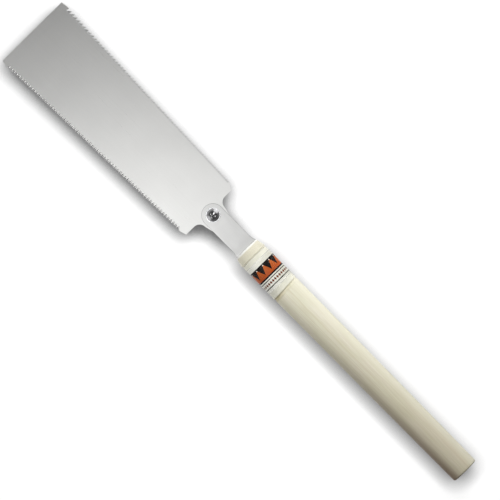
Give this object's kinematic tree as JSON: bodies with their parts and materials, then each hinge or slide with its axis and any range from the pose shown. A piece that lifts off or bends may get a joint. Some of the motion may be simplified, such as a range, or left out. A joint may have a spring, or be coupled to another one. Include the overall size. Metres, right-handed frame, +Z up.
{
  "type": "ryoba saw",
  "caption": "Ryoba pull saw: a thin tapered blade with rip teeth along an edge and crosscut teeth along the opposite, screw-clamped in a steel neck on an oval wooden handle.",
  "frame": {"origin": "on the surface that the saw lies on, midway between toe and butt, on the saw's long axis", "axes": "+X from the toe of the blade to the butt of the handle, the way the saw cuts; +Y towards the rip edge; +Z up, square to the blade, on the side of the clamp screw's head"},
  "size_m": [0.627, 0.087, 0.026],
  "materials": {
    "blade_steel": "satin ground",
    "neck_steel": "satin",
    "plain_steel": "plain",
    "screw_chrome": "polished plating",
    "washer_zinc": "zinc plated",
    "handle_wood": "fine sanded, unvarnished",
    "collar_plastic": "cream, smooth",
    "label_paper": null,
    "clear_film": "clear shrunk film"
  },
  "bodies": {
    "handle_unit": {"handle": "handle_wood", "mouth_collar": "collar_plastic", "label_band": "label_paper", "film_sleeve": "clear_film", "front_leaf": "neck_steel", "back_leaf": "neck_steel", "tail_bar": "neck_steel", "tail_rivets": "plain_steel", "handle_pin": "plain_steel", "clamp_nut": "washer_zinc"},
    "blade": {"blade": "blade_steel"},
    "washer": {"screw_washer": "washer_zinc"},
    "screw": {"clamp_screw": "screw_chrome"}
  },
  "joints": [
    {"name": "blade_slide", "type": "slide", "parent": "handle_unit", "child": "blade", "axis": [-1, 0, 0], "range_m": [0, 0.05]},
    {"name": "screw_travel", "type": "slide", "parent": "handle_unit", "child": "washer", "axis": [0, 0, 1], "range_m": [0, 0.004]},
    {"name": "screw_turn", "type": "hinge", "parent": "washer", "child": "screw", "pos_m": [-0.0515, 0, 0.013], "axis": [0, 0, 1], "range_deg": [0, 1440]}
  ],
  "couplings": [
    {"joint": "screw_turn", "follows": "screw_travel", "rad_per_m": 6283.2}
  ]
}
